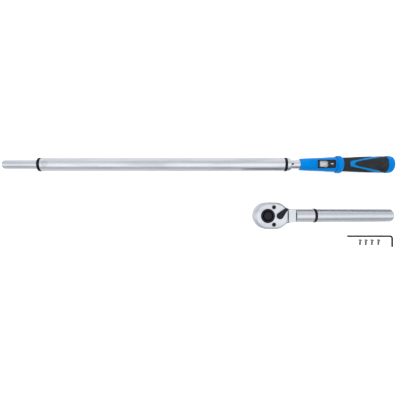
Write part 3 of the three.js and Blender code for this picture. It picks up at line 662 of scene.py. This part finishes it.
def build_window():
    x0, x1, width = WINDOW
    s0, s1, inner = SCALE_WINDOW
    bezel = prism("window_bezel_piece", rounded_box(x0, x1, width, 2.6), 4, 30, BAR)
    outside = [(HOUSING_FRONT, 0), *[(x, r + 0.35) for x, r in HOUSING], (HOUSING_REAR, 0)]
    combine(bezel, turned("tool", outside, BAR, 128), "INTERSECT")
    combine(bezel, rod_tool(BAR, x0 - 2, x1 + 2, 13.6, 128))
    combine(bezel, prism("tool", rounded_box(s0, s1, inner, 0.9), 0, 30, BAR))
    field = prism("tool", rounded_box(s1 + 0.9, x1 - 1.8, inner, 0.9), 4, 30, BAR)
    combine(field, housing_shell(-0.35, 2), "INTERSECT")
    combine(bezel, field)
    slot = prism("tool", rounded_box(811.2, 818, 3.2, 0.9), 4, 30, BAR)
    combine(slot, housing_shell(-1.0, 2), "INTERSECT")
    combine(bezel, slot)
    bevel(bezel, 0.28, 3)
    finish_piece(bezel, "bar", "window_bezel", "bezel")

    lens = prism("window_lens_piece", rounded_box(s0 + 0.2, s1 - 0.2, inner - 0.4, 0.8), 4, 30, BAR)
    combine(lens, housing_shell(-1.6, -0.15), "INTERSECT")
    bevel(lens, 0.12, 2)
    finish_piece(lens, "bar", "window_lens", "lens")

    mark = prism("index_mark_piece", rounded_box(811.5, 817.7, 2.6, 0.6), 4, 30, BAR)
    combine(mark, housing_shell(-0.8, -0.25), "INTERSECT")
    finish_piece(mark, "bar", "index_mark", "mark")

    drum = ring("scale_drum_piece", [(784.4, 12.9, 0.2), (820.5, 12.9, 0.2)], 5.3, BAR)
    finish_piece(drum, "carriage", "scale_carriage", "scale")


def build_lock_ring():
    web, back = LOCK_WEB
    profile = rounded([
        (829.05, LOCK_BORE_R, 0.3), *COLLAR, (842, LOCK_BORE_R, 0.3), (back, LOCK_BORE_R, 0),
        (back, LOCK_WEB_R, 0.3), (web, LOCK_WEB_R, 0.3), (web, LOCK_BORE_R, 0),
    ])
    finish_piece(turned("lock_ring_piece", profile, BAR, 128), "lock", "lock_ring", "blue")


# ---------- grip ----------

def grip_shell(inner, outer):
    out = [(x, r + outer) for x, r in GRIP]
    back = [(x, r + inner) for x, r in reversed(GRIP)]
    return turned("tool", out + back, BAR, 128)


def v_outline(grow):
    """The V's outline, with its front and rear edges moved apart by grow."""
    front = [(x - grow, y + grow / 2 if y else 0) for x, y in V_FRONT]
    rear = [(x + grow, y - grow / 2 if y else 0) for x, y in V_REAR]
    return mirrored(through(front, 6) + through(rear, 6))


def grip_profile():
    """The rubber's section, with its two ends rounded and the length between them smooth."""
    (start, low), front, *_, rear, (end, high) = GRIP
    body = [p for p in through(GRIP[1:-1], 5) if front[0] < p[0] < rear[0]]
    return rounded([(start, 15.2, 0.2), (start, low, 0.4), (*front, 0.4), *[(x, r, 0) for x, r in body],
                    (*rear, 0.4), (end, high, 0.4), (end, 15.2, 0.2)])


def build_grip():
    rubber = turned("grip_rubber_piece", grip_profile(), BAR, 160)
    groove = prism("tool", v_outline(V_GAP), -30, 30, BAR)
    combine(groove, grip_shell(-V_DEPTH - V_GAP, 3), "INTERSECT")
    combine(rubber, groove)
    finish_piece(rubber, "grip", "grip_rubber", "rubber")

    inlay = prism("grip_inlay_piece", v_outline(0.1), -30, 30, BAR)
    combine(inlay, grip_shell(-V_DEPTH, 0.35), "INTERSECT")
    bevel(inlay, 0.5, 3, 50)
    finish_piece(inlay, "grip", "grip_inlay", "inlay")

    end = GRIP[-1][0]
    core = turned("grip_core_piece", rounded([
        (842.3, 12.2, 0.3), (842.3, 17.8, 0.5), (843.2, 18.2, 0.4), (844, 17.8, 0.3), (844, 14.9, 0),
        (end, 14.9, 0.3), (end, 12.2, 0.3), (905.3, 12.2, 0), (905.3, 4.3, 0.3), (893, 4.3, 0.3),
        (893, 12.2, 0),
    ]), BAR)
    finish_piece(core, "grip", "grip_core", "blue")
    build_cap()


def build_cap():
    dome = through(CAP_DOME, 5)
    cap = turned("end_cap_piece", rounded([
        (943.5, 9, 0.3), (943.5, 11.9, 0.4), (CAP_FRONT, 11.9, 0), (CAP_FRONT, 20.5, 0.5),
        (953.7, 21.5, 0.7), *[(x, r, 0) for x, r in dome], (972, 4.2, 0.2),
        (CAP_RECESS, 4.2, 0), (CAP_RECESS, 2.3, 0), (965, 2.3, 0), (965, 9, 0),
    ]), BAR, 128)
    finish_piece(cap, "grip", "end_cap", "blue")
    head = CAP_RECESS + 0.3
    corners = [(959, 2, 0.2), (head, 2, 0), (head, 3.9, 0.3), (head + 3, 3.9, 0.5)]
    screw = solid("cap_screw_piece", corners, BAR, 48)
    along = BAR @ Matrix.Rotation(math.pi / 2, 4, "Y")
    combine(screw, prism("tool", hexagon(4), head + 1.3, head + 5, along))
    bevel(screw, 0.12, 2)
    finish_piece(screw, "grip", "cap_screw", "black")


# ---------- ratchet ----------

def cheeked(tail, corner, bend, half, straight, control):
    """A round nose and straight sides that draw in to a rear edge bowed towards control."""
    upper = tail + [corner, *bezier(corner, *bend, (straight, half))] + arc(0, 0, half, 90, 180, 28)
    x, y = upper[0]
    return mirrored(upper) + bezier((x, -y), (control, 0), (x, y), steps=12)[:-1]


def head_outline():
    tail, corner = HEAD_REAR
    return cheeked([tail], corner, [(40, 23.2), (36, HEAD_R)], HEAD_R, CHEEK_END, tail[0] + 3)


def neck_outline():
    x, y = HEAD_REAR[1]
    upper = [(NECK_END, NECK_HALF), *bezier((NECK_END, NECK_HALF), (54, 15.6), (x - 1, y)), (30, 25)]
    return mirrored(upper)


def plate_outline(grow=0.0, seam=0.0):
    half = PLATE_HALF + grow
    corner = (PLATE_REAR[0] + grow, PLATE_REAR[1] + grow)
    bulge = PLATE_BULGE + grow + 2 * seam
    return cheeked([], corner, [(39, 20.3 + grow), (34, half)], half, CHEEK_END - 1, bulge)


def cut_pawl_pocket(head):
    """Room for the pawl and the reversing lever's shaft, and a slot for the detent."""
    inner, outer = PAWL_POCKET
    spread = PAWL_POCKET_SPREAD
    sector = arc(0, 0, outer, -spread, spread, 24) + arc(0, 0, inner, spread, -spread, 16)
    end, half = DETENT_SLOT
    combine(head, rod_tool(upright(RATCHET, LEVER_X), POCKET_FLOOR, 20, 7.7))
    combine(head, rod_tool(upright(RATCHET, LEVER_X), -11, 0, 4.3))
    combine(head, prism("tool", sector, POCKET_FLOOR, 20, RATCHET))
    slot = [(LEVER_X, -half), (end, -half), (end, half), (LEVER_X, half)]
    combine(head, prism("tool", slot, 7, 20, RATCHET))


def build_head():
    block = prism("ratchet_head_piece", head_outline(), -HEAD_HALF, HEAD_HALF, RATCHET)
    head = bevel(block, HEAD_BEVEL, 1, 60)
    bevel(head, 0.8, 3, 35)
    neck = bevel(prism("tool", neck_outline(), -NECK_THICK, NECK_THICK, RATCHET), 1.6, 4, 60)
    combine(head, neck, "UNION")
    forging = solid("tool", [
        (NECK_END - 0.6, FORGED_R - 0.9, 0), (NECK_END + 0.5, FORGED_R, 0.8),
        (FORGED_END - 0.4, FORGED_R, 0.8),
        (FORGED_END, FORGED_R - 1, 0.3), (FORGED_END, 11.1, 0), (165, 11.1, 0.6)], RATCHET)
    combine(head, forging, "UNION")
    groove = rounded_box(NECK_END - 1.2, NECK_END - 0.2, 21.5, 0.4)
    step = prism("tool", groove, NECK_THICK - 1, 20, RATCHET)
    combine(head, step)
    combine(head, rod_tool(upright(RATCHET), POCKET_FLOOR, 20, GEAR_R + 0.4, 72))
    combine(head, rod_tool(upright(RATCHET), -20, 0, JOURNAL_R + 0.3, 72))
    cut_pawl_pocket(head)
    combine(head, prism("tool", plate_outline(0.25, 0.35), PLATE_Z - 0.3, 20, RATCHET))
    combine(head, rod_tool(sideways(RATCHET, SHANK_PIN_X), -20, 20, 3.3, 32))
    for side in (1, -1):
        combine(head, rod_tool(upright(RATCHET, COVER_SCREW[0], side * COVER_SCREW[1]), 1, 20, 1.9, 24))
    finish_piece(head, "ratchet", "ratchet_head", "forged")
    # Painted shade: dead black on the neck's step groove and on the walls of the cover plate's seam.
    paint_shade(head, RATCHET, (NECK_END - 1.3, -12, NECK_THICK - 1.1), (NECK_END, 12, NECK_THICK - 0.05))
    paint_shade(head, RATCHET, (42, -17, PLATE_Z), (PLATE_BULGE + 2, 17, HEAD_HALF - 0.1))


def build_cover_screw(number, place, centre):
    screw = solid(f"cover_screw_piece_{number}", [
        (2.9, 1.6, 0.2), (11.4, 1.6, 0), (14.3, COVER_SCREW_R, 0.2), (14.9, COVER_SCREW_R, 0.3),
    ], place, 48)
    combine(screw, prism("tool", hexagon(3.2), 12.9, 16, centre))
    bevel(screw, 0.12, 2)
    finish_piece(screw, "ratchet", f"cover_screw_{number}", "black")


def build_cover():
    outline = plate_outline()
    plate = bevel(prism("cover_plate_piece", outline, PLATE_Z, HEAD_HALF, RATCHET), 0.45, 3, 60)
    combine(plate, solid("tool", [(0, HUB_R + 0.3, 0), (14.6, HUB_R + 0.3, 0), (20, HUB_R + 4.5, 0)],
                         upright(RATCHET), 96))
    combine(plate, rod_tool(upright(RATCHET, LEVER_X), 0, 20, 4.3))
    x, y = COVER_SCREW
    for number, side in ((1, 1), (2, -1)):
        place = upright(RATCHET, x, side * y)
        sink = [(5, 2.1, 0), (11.65, 2.1, 0), (14.65, 5.1, 0), (16, 5.1, 0)]
        combine(plate, solid("tool", sink, place, 48))
        build_cover_screw(number, place, RATCHET @ Matrix.Translation((x, side * y, 0)))
    finish_piece(plate, "ratchet", "cover_plate", "satin")


def gear_outline(teeth=36, root=19.0):
    points = []
    for i in range(teeth):
        centre = (i + 0.5) * 2 * math.pi / teeth
        for offset, radius in ((-0.07, root), (-0.028, GEAR_R), (0.028, GEAR_R), (0.07, root)):
            points.append((radius * math.cos(centre + offset), radius * math.sin(centre + offset)))
    return points


def build_gear():
    gear = prism("drive_gear_piece", gear_outline(), -7, 7, RATCHET)
    hub = solid("tool", [
        (-HEAD_HALF - 0.6, JOURNAL_R - 0.6, 0.2), (-HEAD_HALF, JOURNAL_R, 0.3), (0, JOURNAL_R, 0),
        (0, HUB_R, 0), (HUB_TOP, HUB_R, 0.9)], upright(RATCHET))
    combine(gear, hub, "UNION")
    square = [(x * DRIVE_HALF, y * DRIVE_HALF) for x, y in ((-1, -1), (1, -1), (1, 1), (-1, 1))]
    drive = bevel(prism("tool", square, DRIVE_END, -10, RATCHET), 1.1, 3, 60)
    combine(gear, drive, "UNION")
    combine(gear, solid("tool", [(9, BUTTON_R + 0.3, 0), (14.8, BUTTON_R + 0.3, 0), (20, BUTTON_R + 4.5, 0)],
                        upright(RATCHET), 72))
    combine(gear, rod_tool(upright(RATCHET), 3, 20, 6.3))
    combine(gear, rod_tool(upright(RATCHET), -36, 20, 3.3))
    hole = RATCHET @ Matrix.Translation((0, 0, BALL[1])) @ Matrix.Rotation(math.pi / 2, 4, "Z")
    combine(gear, rod_tool(hole, 0, 20, BALL_R + 0.3))
    finish_piece(gear, "gear", "drive_gear", "black")

    angles = [math.radians(a) for a in range(180, -1, -10)]
    ball = turned("retaining_ball_piece", [
        (BALL_R * math.cos(a), abs(BALL_R * math.sin(a))) for a in angles
    ], RATCHET @ Matrix.Translation((0, BALL[0], BALL[1])), 36)
    finish_piece(ball, "ball", "retaining_ball", "steel")

    button = solid("release_button_piece", [
        (-32.6, 3, 0.3), (12.3, 3, 0), (12.3, BUTTON_R, 0.3), (12.8, BUTTON_R, 0.2), (12.8, 10.2, 0.2),
        (16.2, 9.9, 0.6), (16.5, 9.1, 0.6), (16, 7, 0.8), (15.9, 3, 0.5)], upright(RATCHET))
    finish_piece(button, "button", "release_button", "black")
    # Painted shade: dead black in the groove round the button's top.
    paint_shade(button, RATCHET, (-12.3, -12.3, 12.5), (12.3, 12.3, 15.4))


def lever_outline(shrink=0.0):
    """Round pivot end, straight flanks, and a smaller round tip."""
    tip_x, tip_y = LEVER_TIP
    along = math.degrees(math.atan2(tip_y, tip_x))
    lean = math.degrees(math.acos((LEVER_DISC_R - LEVER_TIP_R) / math.hypot(tip_x, tip_y)))
    return (arc(0, 0, LEVER_DISC_R - shrink, along + lean, along + 360 - lean, 28)
            + arc(tip_x, tip_y, LEVER_TIP_R - shrink, along - lean, along + lean, 12))


def build_reversing_lever():
    place = RATCHET @ Matrix.Translation((LEVER_X, 0, 0))
    lever = bevel(prism("reversing_lever_piece", lever_outline(), HEAD_HALF + 0.3, 18.4, place), 0.9, 4, 60)
    ridge = bevel(prism("tool", lever_outline(2.6), 17, 19.3, place), 0.8, 3, 60)
    combine(lever, ridge, "UNION")
    thumb = solid("tool", [(16.5, 3.7, 0), (20.9, 3.2, 1.2)], upright(place, *LEVER_TIP), 48)
    combine(lever, thumb, "UNION")
    combine(lever, rod_tool(upright(place), -10.6, 16.5, 4), "UNION")
    finish_piece(lever, "switch", "reversing_lever", "black")


def build_shank():
    collar = ring("shank_ring_piece", [(FORGED_END + 0.3, 17.2, 0.8), (SHANK[0] - 0.3, 17.2, 0.8)],
                  SHANK_BORE_R, RATCHET)
    finish_piece(collar, "ratchet", "shank_ring", "ring")

    start, end = SHANK
    tube = ring("shank_tube_piece", [
        (start, SHANK_R, 0.9), (end - 4, SHANK_R, 1.2), (end - 1.6, SHANK_R - 0.9, 0.8),
        (end, SHANK_R - 2.3, 0.5),
    ], SHANK_BORE_R, RATCHET, 128)
    combine(tube, rod_tool(sideways(RATCHET, SHANK_PIN_X), -20, 20, 3.3, 32))
    for x in LOCK_HOLES:
        for side in (1, -1):
            sink = solid("tool", [
                (5, 2.8, 0), (SHANK_R - 2.6, 2.8, 0), (SHANK_R - 0.4, SCREW_HEAD_R + 0.3, 0),
                (20, SCREW_HEAD_R + 0.3, 0)], sideways(RATCHET, x + REACH, side), 48)
            combine(tube, sink)
    bevel(tube, 0.3, 2)
    finish_piece(tube, "ratchet", "shank_tube", "shank")

    pin = rod_tool(sideways(RATCHET, SHANK_PIN_X), -20, 20, 3, 40)
    pin.name = "shank_pin_piece"
    combine(pin, rod_tool(RATCHET, 130, 160, SHANK_R - 0.1, 128), "INTERSECT")
    bevel(pin, 0.25, 2)
    finish_piece(pin, "ratchet", "shank_pin", "steel")


# ---------- loose pieces ----------

def build_key():
    low, high = (Vector(v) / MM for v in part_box("hex_key"))
    corner = KEY_FLATS / math.sqrt(3)
    long_x, key_y = high.x - corner, high.y - corner
    bend_x, bend_y = long_x - KEY_BEND_R, key_y - KEY_BEND_R
    stations = [(low.x, key_y, 0.0, 0.84), (low.x + 0.4, key_y, 0.0, 1.0)]
    for i in range(15):
        turn = math.pi / 2 * i / 14
        x = bend_x + KEY_BEND_R * math.sin(turn)
        stations.append((x, bend_y + KEY_BEND_R * math.cos(turn), -turn, 1.0))
    stations += [(long_x, low.y + 0.4, -math.pi / 2, 1.0), (long_x, low.y, -math.pi / 2, 0.84)]
    verts = []
    for x, y, heading, size in stations:
        for i in range(6):
            side = corner * size * math.cos(math.radians(60 * i))
            up = corner * size * math.sin(math.radians(60 * i))
            verts.append((x - side * math.sin(heading), y + side * math.cos(heading), up + KEY_FLATS / 2))
    faces = [[6 * k + i, 6 * k + (i + 1) % 6, 6 * k + 6 + (i + 1) % 6, 6 * k + 6 + i]
             for k in range(len(stations) - 1) for i in range(6)]
    faces += [list(range(6))[::-1], [len(verts) - 6 + i for i in range(6)]]
    key = bevel(mesh_object("hex_key_piece", verts, faces, Matrix.Scale(MM, 4)), 0.3, 3, 40)
    finish_piece(key, "key", "hex_key", "key")


def screw_rows():
    """(along, radius, thread share) rows of a countersunk screw, from its head to its tip."""
    cone = SCREW_HEAD_R - SCREW_R
    rows = [(0, 4.2, 0), (0.12, 4.45, 0), (0.4, SCREW_HEAD_R, 0), (0.9, SCREW_HEAD_R, 0),
            (0.9 + cone, SCREW_R, 0), (1.3 + cone, SCREW_R, 0)]
    start, end = 1.3 + cone, SCREW_LENGTH - 0.7
    steps = 110
    for i in range(1, steps + 1):
        share = min(1.0, i / 12)
        rows.append((start + (end - start) * i / steps, SCREW_R, share))
    return rows + [(SCREW_LENGTH, SCREW_R - 0.7, 0)]


def build_screw(number):
    node = f"locking_screw_{number}"
    low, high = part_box(node)
    tilt = math.atan2(SCREW_HEAD_R - SCREW_R, SCREW_LENGTH - 1.7)
    above = 0.9 * math.sin(tilt) + SCREW_HEAD_R * math.cos(tilt)
    overhang = SCREW_HEAD_R * math.sin(tilt) - 0.4 * math.cos(tilt)
    place = (Matrix.Translation(((low[0] + high[0]) / 2, high[1] - overhang * MM, low[2] + above * MM))
             @ Matrix.Rotation(math.pi / 2 + tilt, 4, "X") @ Matrix.Scale(MM, 4))
    around = 36
    verts = []
    for along, radius, share in screw_rows():
        for i in range(around):
            turn = i / around
            wave = 0.5 + 0.5 * math.cos(2 * math.pi * (along / THREAD_PITCH - turn))
            r = radius - THREAD_DEPTH * share * wave ** 1.4
            verts.append((r * math.cos(2 * math.pi * turn), r * math.sin(2 * math.pi * turn), along))
    count = len(verts) // around
    faces = [[k * around + i, k * around + (i + 1) % around, (k + 1) * around + (i + 1) % around,
              (k + 1) * around + i] for k in range(count - 1) for i in range(around)]
    faces += [list(range(around)), [len(verts) - around + i for i in range(around)]]
    screw = mesh_object(f"locking_screw_{number}_piece", verts, faces, place)
    combine(screw, prism("tool", hexagon(KEY_FLATS + 0.1), -1, 2.6, place))
    finish_piece(screw, f"screw_{number}", node, "zinc")


# ---------- springs and inner CAD nodes ----------

def build_spring(node, body):
    """A spring with its CAD coils, copied into a piece of its own and finished in steel."""
    source = frame["nodes"][node]
    spring = bpy.data.objects.new(node + "_piece", source.data.copy())
    spring.data.transform(source.matrix_world)
    bpy.context.scene.collection.objects.link(spring)
    finish_piece(spring, body, node, "steel")
    shade(spring, 65)
    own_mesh(spring)


def dress_inner_nodes():
    """The inner works keep their CAD shapes, and get finished materials."""
    inner = {
        "toggle": "steel", "plunger": "steel", "spring_seat": "brass", "spindle": "steel",
        "thrust_race_front": "steel", "ball_cage": "brass", "thrust_race_rear": "steel", "grip_nut": "zinc",
        "pawl": "black", "detent_pin": "steel", "detent_spring": "steel",
    }
    for node, look in inner.items():
        obj = frame["nodes"][node]
        obj.data.materials.clear()
        obj.data.materials.append(LOOKS[look].data)
        shade(obj, 40)


# ---------- room ----------

def build_floor():
    size = FLOOR_SIZE / 2
    mesh = bpy.data.meshes.new("floor")
    corners = [(-size, -size, 0), (size, -size, 0), (size, size, 0), (-size, size, 0)]
    mesh.from_pydata(corners, [], [(0, 1, 2, 3)])
    floor = bpy.data.objects.new("floor", mesh)
    floor.location = (0, 0, CAD_BOX[0][2] - FLOOR_DROP)
    bpy.context.scene.collection.objects.link(floor)
    paint = Material("floor_paint", "fafafa", 0.9)
    paint.shader.inputs["Emission Color"].default_value = (1, 1, 1, 1)
    paint.shader.inputs["Emission Strength"].default_value = 0.42
    paint.shader.inputs["Specular IOR Level"].default_value = 0.0
    mesh.materials.append(paint.data)
    floor.visible_glossy = False


def build_world():
    """A bright tent overhead with darker gaps on either side, seen only in reflections."""
    world = bpy.data.worlds.new("studio")
    bpy.context.scene.world = world
    world.use_nodes = True
    nodes, links = world.node_tree.nodes, world.node_tree.links
    where = nodes.new("ShaderNodeTexCoord")
    parts = nodes.new("ShaderNodeSeparateXYZ")
    links.new(where.outputs["Generated"], parts.inputs["Vector"])
    angle = nodes.new("ShaderNodeMath")
    angle.operation = "ARCTAN2"
    links.new(parts.outputs["Y"], angle.inputs[0])
    links.new(parts.outputs["Z"], angle.inputs[1])
    share = nodes.new("ShaderNodeMapRange")
    share.inputs["From Min"].default_value = -math.pi
    share.inputs["From Max"].default_value = math.pi
    links.new(angle.outputs["Value"], share.inputs["Value"])
    ramp = nodes.new("ShaderNodeValToRGB")
    while len(ramp.color_ramp.elements) < len(TENT):
        ramp.color_ramp.elements.new(0.5)
    for element, (degrees, level) in zip(ramp.color_ramp.elements, TENT):
        element.position = degrees / 360 + 0.5
        element.color = (level * 0.985, level * 0.99, level, 1)
    links.new(share.outputs["Result"], ramp.inputs["Fac"])
    mix = nodes.new("ShaderNodeMix")
    mix.data_type = "RGBA"
    rays = nodes.new("ShaderNodeLightPath")
    links.new(rays.outputs["Is Camera Ray"], mix.inputs[0])
    links.new(ramp.outputs["Color"], mix.inputs[6])
    mix.inputs[7].default_value = (0.93, 0.93, 0.94, 1)
    links.new(mix.outputs[2], nodes["Background"].inputs["Color"])


def build_lights():
    light = bpy.data.lights.new("key", "SUN")
    light.energy = 0.9
    light.angle = math.radians(70)
    key = bpy.data.objects.new("key", light)
    key.rotation_euler = (math.radians(-14), math.radians(-10), 0)
    key.visible_glossy = False
    bpy.context.scene.collection.objects.link(key)


def build_card():
    """A dark card beyond the shank, seen only in reflections, that draws its far edge."""
    (x0, x1), y, (z0, z1) = CARD_X, CARD_Y, CARD_Z
    mesh = bpy.data.meshes.new("card")
    mesh.from_pydata([(x0, y, z0), (x1, y, z0), (x1, y, z1), (x0, y, z1)], [], [(0, 1, 2, 3)])
    mesh.materials.append(Material("card_paint", "84878e", 0.9).data)
    card = bpy.data.objects.new("card", mesh)
    bpy.context.scene.collection.objects.link(card)
    for kind in ("camera", "diffuse", "shadow", "transmission"):
        setattr(card, "visible_" + kind, False)


def build_camera():
    camera = bpy.data.objects.new("camera", bpy.data.cameras.new("camera"))
    camera.data.lens = CAMERA_LENS
    camera.data.sensor_width = 36
    camera.data.clip_start = 0.01
    axis_height = BAR.translation.z
    camera.location = (*CAMERA_SHIFT, axis_height + CAMERA_HEIGHT)
    bpy.context.scene.collection.objects.link(camera)
    bpy.context.scene.camera = camera


BAR = bar_place()
RATCHET = ratchet_place()
LOOKS = build_materials()

build_camera()
build_world()
build_lights()
build_floor()
build_card()
bpy.context.scene.view_settings.view_transform = "Standard"

build_lever()
build_tube()
build_rings()
build_plug()
build_housing()
build_window()
build_lock_ring()
build_grip()
build_head()
build_cover()
build_gear()
build_reversing_lever()
build_shank()
build_key()
for screw_number in range(1, 5):
    build_screw(screw_number)
build_spring("main_spring", "bar")
build_spring("lock_spring", "bar")
build_spring("button_spring", "gear")
dress_inner_nodes()
